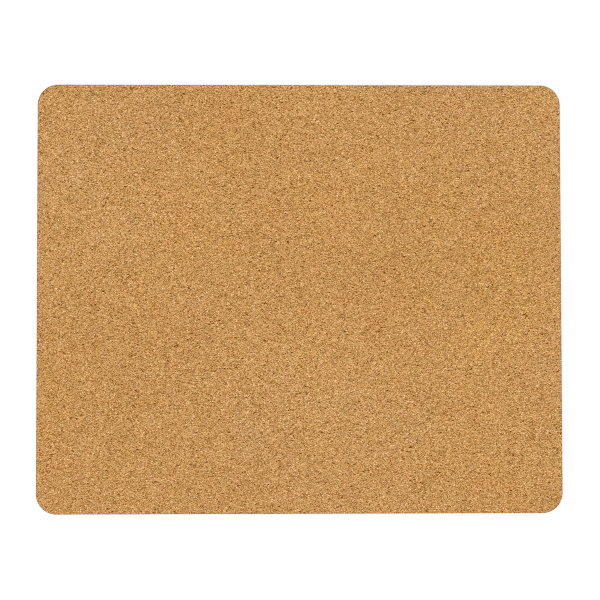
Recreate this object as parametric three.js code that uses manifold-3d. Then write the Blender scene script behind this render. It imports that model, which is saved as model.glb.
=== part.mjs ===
// Cork mouse pad: a fine-grain cork sheet, bonded by an adhesive film to a non-slip rubber base.
// The three sheets are laminated into one blank, and the blank is cut to its outline in one stroke.
// Millimetres, +Z up. The origin is the middle of the underside, with +X along the long side.
import * as THREE from "three";
import {
  mergeVertices,
  toCreasedNormals,
} from "three/addons/utils/BufferGeometryUtils.js";
import Module from "manifold-3d";

// Outline of the pad
const PAD_LENGTH = 220;
const PAD_WIDTH = 180;
const CORNER_RADIUS = 8.5;
const RIM_EASE = 0.3; // radius of the eased upper and lower rims

// Sheets, from the desk up
const BASE_THICKNESS = 1.4;
const FILM_THICKNESS = 0.1;
const CORK_THICKNESS = 1.5;

// Moulded tread under the base: chevron grooves in rows, inside a plain border
const TREAD_BORDER = 7;
const GROOVE_PITCH = 6; // nearest even spacing of the rows that fills the field
const GROOVE_WIDTH = 1.2; // measured across the pad, along Y
const GROOVE_DEPTH = 0.4;
const WAVE_LENGTH = 20;
const WAVE_HEIGHT = 5; // from the low points to the high points of one row

// Facets of the round stretches, and how far a cutting solid runs past the face that it cuts
const ARC_STEPS = 6;
const RIM_STEPS = 4;
const OVERCUT = 1;
const CREASE_ANGLE = Math.PI / 6;

// Levels of the laminate above the desk
const FILM_BOTTOM = BASE_THICKNESS;
const CORK_BOTTOM = FILM_BOTTOM + FILM_THICKNESS;
const PAD_THICKNESS = CORK_BOTTOM + CORK_THICKNESS;

const wasm = await Module();
wasm.setup();

// A closed three.js geometry as a solid that can be joined and cut.
function solidOf(geometry) {
  geometry.deleteAttribute("normal");
  geometry.deleteAttribute("uv");
  const merged = mergeVertices(geometry);
  return new wasm.Manifold(
    new wasm.Mesh({
      numProp: 3,
      vertProperties: merged.attributes.position.array,
      triVerts: new Uint32Array(merged.index.array),
    }),
  );
}

// A finished solid as a named mesh, with its round stretches shaded smooth.
function sheetMesh(name, solid, material) {
  const { vertProperties, triVerts } = solid.getMesh();
  const geometry = new THREE.BufferGeometry();
  geometry.setAttribute("position", new THREE.BufferAttribute(vertProperties, 3));
  geometry.setIndex(new THREE.BufferAttribute(triVerts, 1));
  const mesh = new THREE.Mesh(toCreasedNormals(geometry, CREASE_ANGLE), material);
  mesh.name = name;
  return mesh;
}

// A rectangle with four equal round corners, centred on the origin.
function roundedRectangle(length, width, radius) {
  const cornerX = length / 2 - radius;
  const cornerY = width / 2 - radius;
  const quarter = Math.PI / 2;
  const shape = new THREE.Shape();
  shape.absarc(cornerX, -cornerY, radius, -quarter, 0);
  shape.absarc(cornerX, cornerY, radius, 0, quarter);
  shape.absarc(-cornerX, cornerY, radius, quarter, 2 * quarter);
  shape.absarc(-cornerX, -cornerY, radius, 2 * quarter, 3 * quarter);
  shape.closePath();
  return shape;
}

// The cut laminate as one block, with both rims eased, standing on the desk.
function blank() {
  const outline = roundedRectangle(PAD_LENGTH, PAD_WIDTH, CORNER_RADIUS);
  const geometry = new THREE.ExtrudeGeometry(outline, {
    depth: PAD_THICKNESS - 2 * RIM_EASE,
    curveSegments: ARC_STEPS,
    bevelEnabled: true,
    bevelThickness: RIM_EASE,
    bevelSize: RIM_EASE,
    bevelOffset: -RIM_EASE,
    bevelSegments: RIM_STEPS,
  });
  return solidOf(geometry.translate(0, 0, RIM_EASE));
}

// Everything under a bond line, wider than the pad: both sheets at that line are cut by it.
function spaceBelow(level) {
  const geometry = new THREE.BoxGeometry(
    PAD_LENGTH + 2 * OVERCUT,
    PAD_WIDTH + 2 * OVERCUT,
    level + OVERCUT,
  );
  return solidOf(geometry.translate(0, 0, (level - OVERCUT) / 2));
}

// One row of the tread: a zigzag band about y = middle, crossing its own middle line at x = 0.
function chevronBand(middle, halfWaves) {
  const step = WAVE_LENGTH / 2;
  const upper = [];
  const lower = [];
  for (let i = -halfWaves; i < halfWaves; i++) {
    const x = (i + 0.5) * step;
    const swing = (i % 2 === 0 ? 1 : -1) * (WAVE_HEIGHT / 2);
    upper.push(new THREE.Vector2(x, middle + swing + GROOVE_WIDTH / 2));
    lower.push(new THREE.Vector2(x, middle + swing - GROOVE_WIDTH / 2));
  }
  return new THREE.Shape([...lower, ...upper.reverse()]);
}

// The grooves of the tread, in an even number of rows, so that the middle of the pad is left solid.
function treadGrooves() {
  const fieldLength = PAD_LENGTH - 2 * TREAD_BORDER;
  const fieldWidth = PAD_WIDTH - 2 * TREAD_BORDER;
  const rowSpan = fieldWidth - WAVE_HEIGHT - GROOVE_WIDTH;
  const rows = 2 * Math.round((rowSpan / GROOVE_PITCH + 1) / 2);
  const rowStep = rowSpan / (rows - 1);
  const halfWaves = Math.ceil(fieldLength / WAVE_LENGTH) + 1;
  const bands = Array.from({ length: rows }, (_, row) =>
    chevronBand(row * rowStep - rowSpan / 2, halfWaves),
  );
  const grooves = new THREE.ExtrudeGeometry(bands, {
    depth: GROOVE_DEPTH + OVERCUT,
    bevelEnabled: false,
  });
  const field = new THREE.ExtrudeGeometry(
    roundedRectangle(fieldLength, fieldWidth, CORNER_RADIUS),
    {
      depth: GROOVE_DEPTH + 3 * OVERCUT,
      curveSegments: ARC_STEPS,
      bevelEnabled: false,
    },
  );
  grooves.translate(0, 0, -OVERCUT);
  field.translate(0, 0, -2 * OVERCUT);
  return solidOf(grooves).intersect(solidOf(field));
}

// Finishes
const corkFinish = new THREE.MeshStandardMaterial({
  color: 0xc4935a,
  roughness: 0.85,
  metalness: 0,
});
const filmFinish = new THREE.MeshStandardMaterial({
  color: 0xd2b98a,
  roughness: 0.4,
  metalness: 0,
});
const rubberFinish = new THREE.MeshStandardMaterial({
  color: 0x26272a,
  roughness: 0.9,
  metalness: 0,
});

// Sheets, split out of the one blank at the two bond lines
const laminate = blank();
const underCork = spaceBelow(CORK_BOTTOM);
const underFilm = spaceBelow(FILM_BOTTOM);
const cork = laminate.subtract(underCork);
const film = laminate.intersect(underCork).subtract(underFilm);
const base = laminate.intersect(underFilm).subtract(treadGrooves());

const mousePad = new THREE.Group();
mousePad.add(
  sheetMesh("cork_sheet", cork, corkFinish),
  sheetMesh("adhesive_film", film, filmFinish),
  sheetMesh("rubber_base", base, rubberFinish),
);

export default mousePad;
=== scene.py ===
"""Looks of a cork mouse pad: a cork sheet, a bonding film and a rubber base,
laminated and cut to one outline."""

import math

import bmesh
import bpy
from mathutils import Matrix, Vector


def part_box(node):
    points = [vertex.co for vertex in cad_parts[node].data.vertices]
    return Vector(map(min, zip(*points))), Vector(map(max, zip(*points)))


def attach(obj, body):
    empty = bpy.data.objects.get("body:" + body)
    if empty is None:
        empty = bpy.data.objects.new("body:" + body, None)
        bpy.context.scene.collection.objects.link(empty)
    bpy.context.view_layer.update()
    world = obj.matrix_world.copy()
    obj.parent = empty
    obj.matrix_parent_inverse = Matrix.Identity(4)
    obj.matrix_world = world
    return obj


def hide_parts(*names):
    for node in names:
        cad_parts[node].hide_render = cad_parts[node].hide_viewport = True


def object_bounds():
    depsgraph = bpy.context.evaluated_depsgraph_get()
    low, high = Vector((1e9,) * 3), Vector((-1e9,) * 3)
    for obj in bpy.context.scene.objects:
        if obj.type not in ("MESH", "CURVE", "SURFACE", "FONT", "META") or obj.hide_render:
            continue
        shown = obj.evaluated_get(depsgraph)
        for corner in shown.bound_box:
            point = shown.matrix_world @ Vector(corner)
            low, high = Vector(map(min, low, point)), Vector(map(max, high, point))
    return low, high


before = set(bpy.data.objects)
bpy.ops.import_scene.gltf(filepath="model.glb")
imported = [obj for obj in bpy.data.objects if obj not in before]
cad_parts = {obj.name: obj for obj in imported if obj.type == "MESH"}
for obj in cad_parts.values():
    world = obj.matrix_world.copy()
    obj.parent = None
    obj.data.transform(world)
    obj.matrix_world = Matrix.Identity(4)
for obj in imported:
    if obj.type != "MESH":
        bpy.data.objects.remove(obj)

CAD_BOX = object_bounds()
MM = 0.001
LEVEL_MATCH = 0.001 * MM  # a point this close to a level or a line lies on it

# Outline and levels of the laminate, from the frame
(PAD_LEFT, PAD_FRONT, DESK), (PAD_RIGHT, PAD_BACK, PAD_TOP) = CAD_BOX
PAD_LENGTH = PAD_RIGHT - PAD_LEFT
PAD_WIDTH = PAD_BACK - PAD_FRONT
CORK_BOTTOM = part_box("cork_sheet")[0].z
FILM_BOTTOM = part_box("adhesive_film")[0].z
CORNER_RADIUS = 8.5 * MM
CORNER_STEPS = 32
RIM_EASE = 0.3 * MM
EASE_STEPS = 3

# Cork mesh: fine round the rim, where the grain shows in outline, and coarser on the open face
RIM_PITCH = 0.4 * MM
RIM_BANDS = 8
WALL_STEPS = 3
FACE_PITCH = 0.85 * MM
FACE_GAP = 2.0 * MM  # between the bands of the rim and the grid of the open face

# Wear of the cork: pattern, grain size and depth
CORK_WEAR = (
    ("VORONOI", 1.1 * MM, 0.07 * MM),
    ("CLOUDS", 6.0 * MM, 0.04 * MM),
)

# Edge of the film: length of its steps, how far it wanders from side to side, and over what length
FILM_PITCH = 1.5 * MM
FILM_WANDER = 0.08 * MM
FILM_GRAIN = 5.0 * MM

# Tread under the base: rows of zigzag grooves inside a plain border
TREAD_BORDER = 7.0 * MM
TREAD_ROWS = 28
HALF_WAVES = 21  # in one row, before its two ends are slid in to the border
HALF_WAVE = 10.0 * MM
WAVE_HEIGHT = 5.0 * MM
GROOVE_WIDTH = 1.2 * MM
GROOVE_DEPTH = 0.4 * MM
GROOVE_DRAFT = 0.15 * MM
GROOVE_LIP = 0.06 * MM
LIP_STEPS = 2
LAND_TURN = 0.9  # a face whose normal is more upright than this is a land
CORNER_DRAW = 2.2 * MM  # how far the ends of the outermost rows are drawn in from the round corners
ROW_SPAN = PAD_WIDTH - 2 * TREAD_BORDER - WAVE_HEIGHT - GROOVE_WIDTH
ROW_STEP = ROW_SPAN / (TREAD_ROWS - 1)

# Shading: the largest angle, in degrees, across which two faces are shaded as one
SHEET_SMOOTH = 50.0
BASE_SMOOTH = 30.0

# Texture layout of a sheet
MAP_MARGIN = 0.01
MAP_STRIP = 0.03  # height of the map kept for each cut side
SIDE_STRETCH = 2.5  # how much larger than the broad face the cut sides are laid out, upwards
BOND_SHRINK = 0.05  # how much smaller than the broad face the bonded face is laid out
FLAT_ENOUGH = 0.3  # a face whose normal is more upright than this isn't a cut side

# Patterns are in millimetres.
# Specks: spacing, share of the cells that hold one, radius.
# Clouds: size, number of finer layers, strength of those layers.
# Bands: the value where an effect starts, the value where it is full.
SPECK_HEART = 0.5  # share of a speck's radius inside which it is solid

# Cork: its grains, its granules and their broken outlines, bark, smudges, flecks and clouds
GRAIN_SIZE = 0.17
GRAIN_STRETCH = (2.0, 1.0, 1.0)
GRAIN_CONTRAST = 1.03
GRAIN_LEVEL = -0.061
GRANULE_SIZE = 1.5
GRANULE_STRETCH = (1.4, 1.0, 1.0)
OUTLINE_SIZE = 2.6
OUTLINE_BAND = (0.09, 0.03)  # in shares of a cell
OUTLINE_BREAKS = (3.0, 1.0)
OUTLINE_BREAK_BAND = (0.45, 0.65)
OUTLINE_SHADE = -0.1
BARK_DOTS = (0.7, 0.06, 0.28)
BARK_STROKES = (0.9, 0.04, 0.30)
STROKE_STRETCH = (2.6, 1.0, 1.0)
STROKE_SLANTS = (-14.0, 17.0)
SMUDGES = (1.6, 0.16, 0.5)
SMUDGE_STRETCH = (2.2, 1.0, 1.0)
SMUDGE_SLANT = 6.0
SMUDGE_SHADE = -0.2
PALE_FLECKS = (0.8, 0.25, 0.27)
TONE_CLOUDS = (8.0, 3.0, 0.7)
TONE_CLOUD_SHADE = 0.06

# Cork colours as they show on a screen, and swings of red, green and blue by grain, granule and cloud
DARK_GRAIN = (127, 72, 0)
PALE_GRAIN = (248, 195, 123)
BARK = (106, 54, 0)
FLECK = (255, 213, 160)
GRAIN_SWING = (0.0, 0.0, 0.25)
GRANULE_SWINGS = ((0.018, 0.005, -0.054), (0.016, -0.016, 0.0))
CLOUD_SWINGS = (
    ((12.0, 3.0), (0.022, -0.022, 0.0)),
    ((55.0, 2.5), (0.05, 0.022, -0.15)),
    ((100.0, 1.0), (0.025, 0.085, 0.275)),
)

# Cork edges: painted shade, greyer and darker, within a millimetre of the rounded rim; and darker below the
# top, where the cork is cut
PAINTED_RIM_SHADE = (150, 122, 92)
PAINTED_RIM_SHADE_BAND = (0.8, 0.15)
PAINTED_RIM_SHADE_SHARE = 0.25
CUT_CORK = (104, 66, 28)
CUT_BAND = (0.1, 0.4)
CUT_SHARE = 0.2

# Cork surface
CORK_RELIEF = (0.5, 1.0)
BARK_SINK = -0.6
CORK_BUMP = (0.5, 0.04 * MM)
CORK_DULLNESS = 0.8
CORK_DULLNESS_SWING = 0.12
CORK_GLOSS = 0.06
CORK_GLOSS_TINT = (1.0, 0.62, 0.2, 1.0)

# Rubber: grey bloom, grit drawn upright by the knife, lands and rim scuffed by the desk, and pale dust
RUBBER_BLACK = (0.013, 0.013, 0.014, 1.0)
RUBBER_GREY = (0.030, 0.029, 0.029, 1.0)
BLOOM = (14.0, 4.0, 0.6)
BLOOM_BAND = (0.35, 0.65)
GRIT = (0.35, 2.0)
GRIT_STRETCH = (1.0, 1.0, 14.0)
GRIT_BAND = (0.3, 0.7)
GRIT_SWING = (0.35, 0.35, 0.35)
SCUFFED = (0.070, 0.068, 0.066, 1.0)
SCUFFS = (7.0, 5.0, 0.65)
SCUFF_BAND = (0.42, 0.66)
SCUFF_SHARE = 0.6
LAND_BAND = (0.12, 0.02)
RIM_BAND = (1.2, 0.3)
DUST = (0.24, 0.21, 0.17, 1.0)
DUST_SPECKS = (1.3, 0.10, 0.12)
DUST_SHARE = 0.6
RUBBER_BUMP = (0.6, 0.06 * MM)
RUBBER_DULLNESS = 0.5
BLOOM_DULLNESS = 0.3
SCUFF_DULLNESS = 0.15
RUBBER_GLOSS = 0.35

# Film: a cloudy amber, with a sheen that varies
FILM_AMBER = (0.46, 0.31, 0.13, 1.0)
FILM_PALE = (0.74, 0.59, 0.35, 1.0)
FILM_HAZE = (1.7, 3.0)
HAZE_BAND = (0.3, 0.7)
FILM_DULLNESS = (0.3, 0.55)
FILM_RELIEF = (0.4, 1.0)
FILM_BUMP = (0.4, 0.02 * MM)

# Camera, in the pad's frame: a long lens almost straight above the pad
CAMERA_LENS = 100.0
CAMERA_PLACE = (-13.19 * MM, -27.76 * MM, 700.95 * MM)
CAMERA_TURN = (2.223, -1.088, -0.081)

# Light: an even dome and one wide soft lamp almost overhead.
# Together they show a colour about as it is written.
DOME_LEVEL = 0.42
LAMP_LEVEL = 0.58
LAMP_SPREAD = 50.0
LAMP_TILT = (4.0, -5.0, 0.0)
WHITE = (1.0, 1.0, 1.0, 1.0)

# Floor: its lift is what it gives off, only to rays that show the background, to look white round the pad
FLOOR_SIZE = 60.0
FLOOR_DROP = 0.02 * MM
FLOOR_COLOUR = (0.92, 0.92, 0.92, 1.0)
FLOOR_LIFT = 0.22


# Nodes

def place(tree, kind, inputs=None, **settings):
    """Adds a node, sets its properties, and gives each input a value or a link."""
    node = tree.nodes.new(kind)
    for name, value in settings.items():
        setattr(node, name, value)
    for name, value in (inputs or {}).items():
        if isinstance(value, bpy.types.NodeSocket):
            tree.links.new(value, node.inputs[name])
        else:
            node.inputs[name].default_value = value
    return node


def combine(tree, operation, *values):
    """The result of a Math node on numbers or sockets."""
    return place(tree, "ShaderNodeMath", dict(enumerate(values)), operation=operation).outputs[0]


def blend(tree, share, first, second, kind="MIX"):
    """A colour that goes from the first to its mix with the second as share goes from 0 to 1."""
    inputs = {0: share, 6: first, 7: second}
    return place(tree, "ShaderNodeMix", inputs, data_type="RGBA", blend_type=kind).outputs[2]


def stain(tree, colour, mask, share, stained):
    """A colour that takes on at most a share of another where a mask shows."""
    return blend(tree, combine(tree, "MULTIPLY", mask, share), colour, stained)


def rise(tree, value, start, end, low=0.0, high=1.0):
    """A smooth rise from low to high as the value goes from start to end."""
    inputs = {"Value": value, "From Min": start, "From Max": end, "To Min": low, "To Max": high}
    return place(tree, "ShaderNodeMapRange", inputs, interpolation_type="SMOOTHSTEP").outputs[0]


def screen_colour(red, green, blue):
    """A colour as it shows on a screen, 0 to 255, in the linear values that a shader takes."""
    shares = (channel / 255 for channel in (red, green, blue))
    return tuple(s / 12.92 if s < 0.04045 else ((s + 0.055) / 1.055) ** 2.4 for s in shares) + (1.0,)


def new_material(name):
    """An empty material, with its shader joined to its output."""
    material = bpy.data.materials.new(name)
    material.use_nodes = True
    tree = material.node_tree
    tree.nodes.clear()
    shader = place(tree, "ShaderNodeBsdfPrincipled")
    place(tree, "ShaderNodeOutputMaterial", {"Surface": shader.outputs[0]})
    return material, tree, shader


def spot_in_mm(tree, stretch=(1.0, 1.0, 1.0), slant=0.0):
    """Object coordinates in millimetres, turned about Z by a slant and drawn out along each axis."""
    here = place(tree, "ShaderNodeTexCoord").outputs["Object"]
    scale = tuple(MM * share for share in stretch)
    turn = (0.0, 0.0, math.radians(slant))
    inputs = {"Vector": here, "Rotation": turn, "Scale": scale}
    return place(tree, "ShaderNodeMapping", inputs, vector_type="TEXTURE").outputs[0]


def cloud(tree, at, size, detail, roughness=0.5):
    """A soft cloudy value, about 0.5, whose largest patches have one size."""
    inputs = {"Vector": at, "Scale": 1.0 / size, "Detail": detail, "Roughness": roughness}
    return place(tree, "ShaderNodeTexNoise", inputs).outputs[0]


def cell_tones(tree, at, size):
    """Three random tones, 0 to 1, for each cell of a pattern of irregular cells of one size."""
    cells = place(tree, "ShaderNodeTexVoronoi", {"Vector": at, "Scale": 1.0 / size}).outputs["Color"]
    return place(tree, "ShaderNodeSeparateColor", {0: cells}).outputs


def tint(tree, colour, share, swing):
    """A colour whose channels are multiplied by 1 - swing to 1 + swing as share goes from 0 to 1."""
    first = tuple(1.0 - change for change in swing) + (1.0,)
    second = tuple(1.0 + change for change in swing) + (1.0,)
    return blend(tree, 1.0, colour, blend(tree, share, first, second), "MULTIPLY")


def raise_surface(tree, shader, height, strength, depth):
    """Puts a bump of one depth into a shader."""
    bump = place(tree, "ShaderNodeBump", {"Strength": strength, "Distance": depth, "Height": height})
    tree.links.new(bump.outputs[0], shader.inputs["Normal"])


def new_group(name, values, result):
    """An empty node group that takes a place and some values and gives one result, with its inputs."""
    group = bpy.data.node_groups.new(name, "ShaderNodeTree")
    group.interface.new_socket(name="Place", in_out="INPUT", socket_type="NodeSocketVector")
    for value in values:
        group.interface.new_socket(name=value, in_out="INPUT", socket_type="NodeSocketFloat")
    group.interface.new_socket(name=result, in_out="OUTPUT", socket_type="NodeSocketFloat")
    return group, place(group, "NodeGroupInput").outputs


def speck_group():
    """A node group for scattered specks: a mask with a round speck at the heart of a share of the cells."""
    group, given = new_group("scattered_specks", ("Spacing", "Share", "Radius"), "Mask")
    scale = combine(group, "DIVIDE", 1.0, given["Spacing"])
    cells = place(group, "ShaderNodeTexVoronoi", {"Vector": given["Place"], "Scale": scale}).outputs
    chance = place(group, "ShaderNodeSeparateColor", {0: cells["Color"]}).outputs[1]
    chosen = combine(group, "LESS_THAN", chance, given["Share"])
    rim = combine(group, "MULTIPLY", given["Radius"], scale)
    heart = combine(group, "MULTIPLY", rim, SPECK_HEART)
    speck = rise(group, cells["Distance"], rim, heart)
    place(group, "NodeGroupOutput", {"Mask": combine(group, "MULTIPLY", chosen, speck)})
    return group


def rim_group():
    """A node group for the pad's outline: how far inside the cut rim a place lies, in millimetres."""
    group, given = new_group("distance_from_rim", (), "Distance")
    corner_x = (PAD_LENGTH / 2 - CORNER_RADIUS) / MM
    corner_y = (PAD_WIDTH / 2 - CORNER_RADIUS) / MM
    spot = place(group, "ShaderNodeSeparateXYZ", {0: given["Place"]}).outputs
    past_x = combine(group, "SUBTRACT", combine(group, "ABSOLUTE", spot["X"]), corner_x)
    past_y = combine(group, "SUBTRACT", combine(group, "ABSOLUTE", spot["Y"]), corner_y)
    in_corner_x = combine(group, "MAXIMUM", past_x, 0.0)
    in_corner_y = combine(group, "MAXIMUM", past_y, 0.0)
    square_y = combine(group, "MULTIPLY", in_corner_y, in_corner_y)
    past_corner = combine(group, "SQRT", combine(group, "MULTIPLY_ADD", in_corner_x, in_corner_x, square_y))
    short_of_corner = combine(group, "MINIMUM", combine(group, "MAXIMUM", past_x, past_y), 0.0)
    past = combine(group, "ADD", past_corner, short_of_corner)
    place(group, "NodeGroupOutput", {"Distance": combine(group, "SUBTRACT", CORNER_RADIUS / MM, past)})
    return group


def from_rim(tree, group, at):
    """How far inside the cut rim a place lies, in millimetres."""
    return place(tree, "ShaderNodeGroup", {"Place": at}, node_tree=group).outputs["Distance"]


def specks(tree, group, at, spacing, share, radius):
    """The mask of scattered specks, with spacing and radius in the units of the given place."""
    inputs = {"Place": at, "Spacing": spacing, "Share": share, "Radius": radius}
    return place(tree, "ShaderNodeGroup", inputs, node_tree=group).outputs["Mask"]


# Materials

def cork_material(scattered, outlined):
    """Pressed fine cork: grains drawn out along the pad; granules with a hue of their own and broken
    outlines; dots, strokes and smudges of bark; pale flecks; broad faint clouds of colour; painted shade
    close to the rounded rim; and a darker cut edge."""
    material, tree, shader = new_material("pressed_cork")
    spot = spot_in_mm(tree)
    wide_spot = spot_in_mm(tree, GRANULE_STRETCH)
    height = place(tree, "ShaderNodeSeparateXYZ", {0: spot}).outputs["Z"]
    depth = combine(tree, "SUBTRACT", PAD_TOP / MM, height)
    cut = rise(tree, depth, *CUT_BAND)
    # Painted shade along the rounded rim: a mask that is full within a millimetre of the rim
    painted_rim_shade = rise(tree, from_rim(tree, outlined, spot), *PAINTED_RIM_SHADE_BAND)

    grain = cell_tones(tree, spot_in_mm(tree, GRAIN_STRETCH), GRAIN_SIZE)[0]
    granule = cell_tones(tree, wide_spot, GRANULE_SIZE)
    bark = specks(tree, scattered, wide_spot, *BARK_DOTS)
    for slant in STROKE_SLANTS:
        strokes = specks(tree, scattered, spot_in_mm(tree, STROKE_STRETCH, slant), *BARK_STROKES)
        bark = combine(tree, "MAXIMUM", bark, strokes)
    smudge = specks(tree, scattered, spot_in_mm(tree, SMUDGE_STRETCH, SMUDGE_SLANT), *SMUDGES)
    fleck = specks(tree, scattered, wide_spot, *PALE_FLECKS)
    inputs = {"Vector": spot, "Scale": 1.0 / OUTLINE_SIZE}
    edges = place(tree, "ShaderNodeTexVoronoi", inputs, feature="DISTANCE_TO_EDGE").outputs["Distance"]
    breaks = rise(tree, cloud(tree, spot, *OUTLINE_BREAKS), *OUTLINE_BREAK_BAND)
    outline = combine(tree, "MULTIPLY", rise(tree, edges, *OUTLINE_BAND), breaks)

    tone = combine(tree, "MULTIPLY_ADD", grain, GRAIN_CONTRAST, GRAIN_LEVEL)
    tone = combine(tree, "MULTIPLY_ADD", outline, OUTLINE_SHADE, tone)
    tone = combine(tree, "MULTIPLY_ADD", smudge, SMUDGE_SHADE, tone)
    tone = combine(tree, "MULTIPLY_ADD", cloud(tree, spot, *TONE_CLOUDS), TONE_CLOUD_SHADE, tone)
    colour = blend(tree, tone, screen_colour(*DARK_GRAIN), screen_colour(*PALE_GRAIN))
    colour = tint(tree, colour, tone, GRAIN_SWING)
    colour = blend(tree, bark, colour, screen_colour(*BARK))
    colour = blend(tree, fleck, colour, screen_colour(*FLECK))
    for own_tone, swing in zip(granule, GRANULE_SWINGS):
        colour = tint(tree, colour, own_tone, swing)
    for pattern, swing in CLOUD_SWINGS:
        colour = tint(tree, colour, cloud(tree, spot, *pattern), swing)
    # Painted shade: the cork greyed and darkened close to the rounded rim
    colour = stain(tree, colour, painted_rim_shade, PAINTED_RIM_SHADE_SHARE, screen_colour(*PAINTED_RIM_SHADE))
    colour = stain(tree, colour, cut, CUT_SHARE, screen_colour(*CUT_CORK))
    tree.links.new(colour, shader.inputs["Base Color"])

    relief = combine(tree, "MULTIPLY_ADD", bark, BARK_SINK, cloud(tree, wide_spot, *CORK_RELIEF))
    raise_surface(tree, shader, relief, *CORK_BUMP)
    dullness = combine(tree, "MULTIPLY_ADD", granule[2], CORK_DULLNESS_SWING, CORK_DULLNESS)
    tree.links.new(dullness, shader.inputs["Roughness"])
    shader.inputs["Specular IOR Level"].default_value = CORK_GLOSS
    shader.inputs["Specular Tint"].default_value = CORK_GLOSS_TINT
    return material


def rubber_material(scattered, outlined):
    """Black moulded rubber: patches of grey bloom, fine grit that the knife draws into upright lines along
    the cut edge, lands and a lower rim scuffed by the desk, and a little pale dust."""
    material, tree, shader = new_material("black_rubber")
    spot = spot_in_mm(tree)
    height = place(tree, "ShaderNodeSeparateXYZ", {0: spot}).outputs["Z"]
    bloom = cloud(tree, spot, *BLOOM)
    grit = cloud(tree, spot_in_mm(tree, GRIT_STRETCH), *GRIT)
    dust = specks(tree, scattered, spot, *DUST_SPECKS)
    land = rise(tree, height, *LAND_BAND)
    rim = rise(tree, from_rim(tree, outlined, spot), *RIM_BAND)
    patches = rise(tree, cloud(tree, spot, *SCUFFS), *SCUFF_BAND)
    scuff = combine(tree, "MULTIPLY", land, combine(tree, "MAXIMUM", patches, rim))

    colour = blend(tree, rise(tree, bloom, *BLOOM_BAND), RUBBER_BLACK, RUBBER_GREY)
    colour = tint(tree, colour, rise(tree, grit, *GRIT_BAND), GRIT_SWING)
    colour = stain(tree, colour, scuff, SCUFF_SHARE, SCUFFED)
    colour = stain(tree, colour, dust, DUST_SHARE, DUST)
    tree.links.new(colour, shader.inputs["Base Color"])

    dullness = combine(tree, "MULTIPLY_ADD", bloom, BLOOM_DULLNESS, RUBBER_DULLNESS)
    dullness = combine(tree, "MULTIPLY_ADD", scuff, SCUFF_DULLNESS, dullness)
    tree.links.new(dullness, shader.inputs["Roughness"])
    raise_surface(tree, shader, grit, *RUBBER_BUMP)
    shader.inputs["Specular IOR Level"].default_value = RUBBER_GLOSS
    return material


def film_material():
    """Amber bonding film: cloudy, with a dull sheen that varies along the line that shows at the cut."""
    material, tree, shader = new_material("bonding_film")
    spot = spot_in_mm(tree)
    haze = cloud(tree, spot, *FILM_HAZE)
    colour = blend(tree, rise(tree, haze, *HAZE_BAND), FILM_AMBER, FILM_PALE)
    tree.links.new(colour, shader.inputs["Base Color"])
    tree.links.new(rise(tree, haze, *HAZE_BAND, *FILM_DULLNESS), shader.inputs["Roughness"])
    raise_surface(tree, shader, cloud(tree, spot, *FILM_RELIEF), *FILM_BUMP)
    return material


# Modelling

def select(piece, kind, wanted):
    """Selects, in edit mode, the vertices, edges or faces of a piece that are wanted, and nothing else."""
    bpy.ops.mesh.select_mode(type=kind)
    bpy.ops.mesh.select_all(action="DESELECT")
    shape = bmesh.from_edit_mesh(piece.data)
    for part in {"VERT": shape.verts, "EDGE": shape.edges, "FACE": shape.faces}[kind]:
        if wanted(part):
            part.select_set(True)
    shape.select_flush_mode()
    bmesh.update_edit_mesh(piece.data)


def at_level(level):
    """A test for parts whose vertices all lie at one level."""
    return lambda part: all(abs(v.co.z - level) < LEVEL_MATCH for v in part.verts)


def start_sheet(name, level):
    """A flat face at a level over the desk, with the pad's outline and round corners, left in edit mode."""
    bpy.ops.object.select_all(action="DESELECT")
    bpy.ops.mesh.primitive_plane_add(size=1.0, calc_uvs=False, location=(0.0, 0.0, level))
    piece = bpy.context.active_object
    piece.name = name
    piece.data.name = name
    piece.scale = (PAD_LENGTH, PAD_WIDTH, 1.0)
    bpy.ops.object.transform_apply(location=True, rotation=True, scale=True)
    bpy.ops.object.mode_set(mode="EDIT")
    bpy.ops.mesh.select_all(action="SELECT")
    bpy.ops.mesh.bevel(offset=CORNER_RADIUS, segments=CORNER_STEPS, affect="VERTICES")
    return piece


def split_sides(piece, pitch):
    """Cuts the four straight sides of an outline into steps of about one pitch, in two rounds of cuts."""
    for axis, line, side in (
        (1, PAD_FRONT, PAD_LENGTH),
        (1, PAD_BACK, PAD_LENGTH),
        (0, PAD_LEFT, PAD_WIDTH),
        (0, PAD_RIGHT, PAD_WIDTH),
    ):
        cuts = round(math.sqrt((side - 2 * CORNER_RADIUS) / pitch))
        for _ in range(2):
            select(piece, "EDGE", lambda edge: all(
                abs(v.co[axis] - line) < LEVEL_MATCH for v in edge.verts
            ))
            bpy.ops.mesh.subdivide(number_cuts=cuts - 1)


def thicken(height, steps=1):
    """Extrudes the whole sheet up, or down where height is below 0, in even steps."""
    bpy.ops.mesh.select_mode(type="FACE")
    bpy.ops.mesh.select_all(action="SELECT")
    for _ in range(steps):
        bpy.ops.mesh.extrude_region_move(TRANSFORM_OT_translate={"value": (0.0, 0.0, height / steps)})


def ease_rim(piece, level):
    """Rounds over the cut rim at one level, and leaves the face inside it selected."""
    select(piece, "EDGE", at_level(level))
    bpy.ops.mesh.bevel(offset=RIM_EASE, segments=EASE_STEPS, affect="EDGES")
    select(piece, "FACE", at_level(level))


def add_grid(length, width, columns, rows, level):
    """Adds a flat grid, centred on the pad, to the piece that is in edit mode."""
    bpy.ops.mesh.select_all(action="DESELECT")
    bpy.ops.mesh.primitive_grid_add(
        x_subdivisions=columns, y_subdivisions=rows, size=1.0, calc_uvs=False, location=(0.0, 0.0, level)
    )
    bpy.ops.transform.resize(value=(length, width, 1.0), center_override=(0.0, 0.0, level))


def fill_border(piece):
    """Fills the flat gap between a rim and the grid inside it."""
    select(piece, "EDGE", lambda edge: edge.is_boundary)
    bpy.ops.mesh.fill(use_beauty=True)


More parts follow.
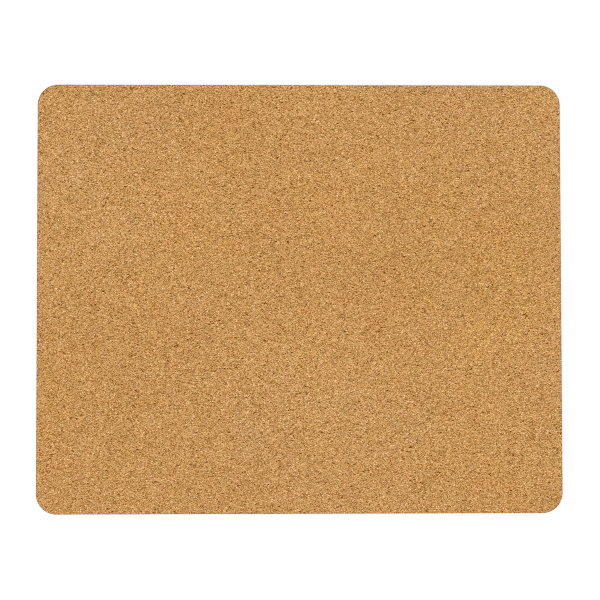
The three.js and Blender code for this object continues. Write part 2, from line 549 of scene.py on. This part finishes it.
def close_piece(piece, material, angle):
    """Turns all faces outwards, leaves edit mode, shades smooth up to an angle and puts the material on."""
    bpy.ops.mesh.select_all(action="SELECT")
    bpy.ops.mesh.normals_make_consistent(inside=False)
    bpy.ops.object.mode_set(mode="OBJECT")
    bpy.ops.object.shade_smooth_by_angle(angle=math.radians(angle))
    piece.data.materials.append(material)


def roughen(piece, kind, grain, depth, direction="NORMAL", middle=1.0, share=None):
    """Moves the surface by up to a depth, by a pattern of one grain size, at the points that share picks."""
    group = piece.vertex_groups.new(name="worn")
    worn = [vertex.index for vertex in piece.data.vertices if share is None or share(vertex.co)]
    group.add(worn, 1.0, "REPLACE")
    pattern = bpy.data.textures.new("wear", kind)
    pattern.noise_scale = grain
    wear = piece.modifiers.new("wear", "DISPLACE")
    wear.texture = pattern
    wear.texture_coords = "LOCAL"
    wear.direction = direction
    wear.mid_level = middle
    wear.strength = depth
    wear.vertex_group = group.name
    bpy.ops.object.modifier_apply(modifier=wear.name)
    piece.vertex_groups.clear()
    bpy.data.textures.remove(pattern)


def lay_flat(piece, shown):
    """Lays a sheet out for its textures: the broad face that shows (1 up, -1 down) fills the map at one
    scale, and the four cut sides and the bonded face lie in the strip that is left under it."""
    data = piece.data
    layer = data.uv_layers.new(name="OFBake")
    scale = (1.0 - 2 * MAP_MARGIN) / PAD_LENGTH
    face_bottom = 1.0 - MAP_MARGIN - scale * PAD_WIDTH
    lowest = min(vertex.co.z for vertex in data.vertices)
    for face in data.polygons:
        turn = face.normal
        for corner in face.loop_indices:
            x, y, z = data.vertices[data.loops[corner].vertex_index].co
            if turn.z * shown > FLAT_ENOUGH:
                spot = (0.5 + shown * scale * x, face_bottom + scale * (y - PAD_FRONT))
            elif turn.z * shown < -FLAT_ENOUGH:
                spot = (
                    0.5 - shown * BOND_SHRINK * scale * x,
                    MAP_MARGIN + BOND_SHRINK * scale * (y - PAD_FRONT),
                )
            else:
                sideways = abs(turn.x) > abs(turn.y)
                along = (y if turn.x > 0 else -y) if sideways else (x if turn.y < 0 else -x)
                strip = (0 if turn.x > 0 else 1) if sideways else (2 if turn.y < 0 else 3)
                foot = face_bottom - (strip + 1) * MAP_STRIP
                spot = (0.5 + scale * along, foot + SIDE_STRETCH * scale * (z - lowest))
            layer.data[corner].uv = spot


def cork_sheet(material):
    """The cork sheet: a wall of cut cork, an eased rim and a face that is uneven as pressed granules are."""
    piece = start_sheet("pressed_cork_sheet", CORK_BOTTOM)
    split_sides(piece, RIM_PITCH)
    thicken(PAD_TOP - CORK_BOTTOM, WALL_STEPS)
    ease_rim(piece, PAD_TOP)
    for _ in range(RIM_BANDS):
        bpy.ops.mesh.inset(thickness=RIM_PITCH)
    bpy.ops.mesh.delete(type="ONLY_FACE")
    border = RIM_EASE + RIM_BANDS * RIM_PITCH + FACE_GAP
    length = PAD_LENGTH - 2 * border
    width = PAD_WIDTH - 2 * border
    add_grid(length, width, round(length / FACE_PITCH), round(width / FACE_PITCH), PAD_TOP)
    fill_border(piece)
    close_piece(piece, material, SHEET_SMOOTH)
    lay_flat(piece, 1)
    for kind, grain, depth in CORK_WEAR:
        roughen(piece, kind, grain, depth, share=lambda spot: spot.z > CORK_BOTTOM + LEVEL_MATCH)
    return piece


def bonding_film(material):
    """The film between the sheets, whose edge wanders a hair in and out of the cut."""
    piece = start_sheet("bonding_film_layer", FILM_BOTTOM)
    split_sides(piece, FILM_PITCH)
    thicken(CORK_BOTTOM - FILM_BOTTOM)
    close_piece(piece, material, SHEET_SMOOTH)
    lay_flat(piece, 1)
    for direction in ("X", "Y"):
        roughen(piece, "CLOUDS", FILM_GRAIN, FILM_WANDER, direction, middle=0.5)
    return piece


def shift_column(piece, x, sideways, along):
    """Moves one column of the tread's points, from side to side and along the pad's width."""
    reach = PAD_WIDTH / 2 - TREAD_BORDER + GROOVE_WIDTH
    select(piece, "VERT", lambda v: abs(v.co.x - x) < HALF_WAVE / 4 and abs(v.co.y) < reach)
    bpy.ops.transform.translate(value=(sideways, along, 0.0))


def draw_in_corners(piece, slope):
    """Draws the ends of the outermost rows in along their slope, to clear the border's round corners."""
    end = PAD_LENGTH / 2 - TREAD_BORDER
    outermost = ROW_SPAN / 2 - WAVE_HEIGHT / 2
    border = PAD_WIDTH / 2 - TREAD_BORDER
    for side in (-1, 1):
        for edge in (-1, 1):
            select(piece, "VERT", lambda v: (
                abs(v.co.x - side * end) < 2 * GROOVE_DRAFT and outermost < edge * v.co.y < border
            ))
            bpy.ops.transform.translate(value=(-side * CORNER_DRAW, -side * slope * CORNER_DRAW, 0.0))


def round_lips(piece):
    """Rounds over the lips where the lands of the tread turn down into the grooves."""
    half_length = PAD_LENGTH / 2 - TREAD_BORDER / 2
    half_width = PAD_WIDTH / 2 - TREAD_BORDER / 2

    def is_lip(edge):
        inside = all(abs(v.co.x) < half_length and abs(v.co.y) < half_width for v in edge.verts)
        turns = sorted(abs(face.normal.z) for face in edge.link_faces)
        return inside and at_level(DESK)(edge) and turns[0] < LAND_TURN < turns[-1]

    select(piece, "EDGE", is_lip)
    bpy.ops.mesh.bevel(offset=GROOVE_LIP, segments=LIP_STEPS, affect="EDGES", clamp_overlap=False)


def tread(piece):
    """Models the tread on the open underside: straight rows of grooves, then the zigzag, then the lips."""
    length = HALF_WAVES * HALF_WAVE
    add_grid(length, TREAD_ROWS * ROW_STEP, HALF_WAVES, 2 * TREAD_ROWS, DESK)
    row_lines = [row * ROW_STEP - ROW_SPAN / 2 for row in range(TREAD_ROWS)]

    def on_row(y, margin):
        return min(abs(y - line) for line in row_lines) < margin

    inside = length / 2 + LEVEL_MATCH
    lowest = DESK + LEVEL_MATCH
    select(piece, "EDGE", lambda edge: all(
        abs(v.co.x) < inside and on_row(v.co.y, LEVEL_MATCH) and v.co.z < lowest for v in edge.verts
    ))
    bpy.ops.mesh.bevel(offset=GROOVE_WIDTH / 2, segments=1, affect="EDGES")
    select(piece, "FACE", lambda face: (
        at_level(DESK)(face) and on_row(face.calc_center_median().y, GROOVE_WIDTH / 4)
    ))
    bpy.ops.mesh.inset(thickness=GROOVE_DRAFT, depth=GROOVE_DEPTH)

    end_slide = length / 2 - (PAD_LENGTH / 2 - TREAD_BORDER)
    slope = WAVE_HEIGHT / HALF_WAVE
    for column in range(HALF_WAVES + 1):
        x = column * HALF_WAVE - length / 2
        swing = -WAVE_HEIGHT / 2 if column % 2 == 0 else WAVE_HEIGHT / 2
        sideways = 0.0
        if column in (0, HALF_WAVES):
            sideways = math.copysign(end_slide, -x)
        shift_column(piece, x, sideways, swing + slope * sideways)
    fill_border(piece)
    draw_in_corners(piece, slope)
    round_lips(piece)


def rubber_base(material):
    """The rubber base: a plain wall, an eased lower rim, and a tread of zigzag grooves underneath."""
    piece = start_sheet("treaded_rubber_base", FILM_BOTTOM)
    thicken(DESK - FILM_BOTTOM)
    ease_rim(piece, DESK)
    bpy.ops.mesh.delete(type="ONLY_FACE")
    tread(piece)
    close_piece(piece, material, BASE_SMOOTH)
    lay_flat(piece, -1)
    return piece


# Stage

def make_camera():
    """A camera at the photograph's place, looking down on the pad."""
    data = bpy.data.cameras.new("camera")
    data.lens = CAMERA_LENS
    camera = bpy.data.objects.new("camera", data)
    camera.location = CAMERA_PLACE
    camera.rotation_euler = [math.radians(turn) for turn in CAMERA_TURN]
    bpy.context.collection.objects.link(camera)
    bpy.context.scene.camera = camera


def background_rays(tree):
    """1 for a ray that shows the background: from the camera, or by way of gloss or glass."""
    ray = place(tree, "ShaderNodeLightPath").outputs
    seen = combine(tree, "MAXIMUM", ray["Is Camera Ray"], ray["Is Glossy Ray"])
    return combine(tree, "MAXIMUM", seen, ray["Is Transmission Ray"])


def make_light():
    """A soft lamp and an even dome, which shows white to the camera and in reflections."""
    data = bpy.data.lights.new("soft_lamp", "SUN")
    data.energy = math.pi * LAMP_LEVEL
    data.angle = math.radians(LAMP_SPREAD)
    lamp = bpy.data.objects.new("soft_lamp", data)
    lamp.rotation_euler = [math.radians(turn) for turn in LAMP_TILT]
    bpy.context.collection.objects.link(lamp)
    world = bpy.data.worlds.new("white_studio")
    bpy.context.scene.world = world
    world.use_nodes = True
    tree = world.node_tree
    tree.nodes.clear()
    inputs = {"Value": background_rays(tree), "To Min": DOME_LEVEL, "To Max": 1.0}
    level = place(tree, "ShaderNodeMapRange", inputs).outputs[0]
    sky = place(tree, "ShaderNodeBackground", {"Color": WHITE, "Strength": level})
    place(tree, "ShaderNodeOutputWorld", {"Surface": sky.outputs[0]})


def make_floor():
    """A plain floor that shows as white to the camera and in reflections, apart from the pad's shadow."""
    bpy.ops.object.select_all(action="DESELECT")
    bpy.ops.mesh.primitive_plane_add(size=FLOOR_SIZE, location=(0.0, 0.0, DESK - FLOOR_DROP))
    floor = bpy.context.active_object
    floor.name = "floor"
    material, tree, shader = new_material("white_floor")
    shader.inputs["Base Color"].default_value = FLOOR_COLOUR
    shader.inputs["Roughness"].default_value = 1.0
    shader.inputs["Specular IOR Level"].default_value = 0.0
    lift = combine(tree, "MULTIPLY", background_rays(tree), FLOOR_LIFT)
    glow = place(tree, "ShaderNodeEmission", {"Color": WHITE, "Strength": lift})
    both = place(tree, "ShaderNodeAddShader", {0: shader.outputs[0], 1: glow.outputs[0]})
    output = next(node for node in tree.nodes if node.type == "OUTPUT_MATERIAL")
    tree.links.new(both.outputs[0], output.inputs["Surface"])
    floor.data.materials.append(material)


make_camera()
make_light()
make_floor()

groups = (speck_group(), rim_group())
for piece, node, slot in (
    (cork_sheet(cork_material(*groups)), "cork_sheet", "cork"),
    (bonding_film(film_material()), "adhesive_film", "adhesive"),
    (rubber_base(rubber_material(*groups)), "rubber_base", "rubber"),
):
    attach(piece, "root")
    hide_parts(node)

bpy.context.scene.view_settings.view_transform = "Standard"
# The grain is as fine as a pixel: denoising would smear it, and the usual wide pixel filter would blur it
bpy.context.scene.cycles.use_denoising = False
bpy.context.scene.cycles.filter_width = 1.0
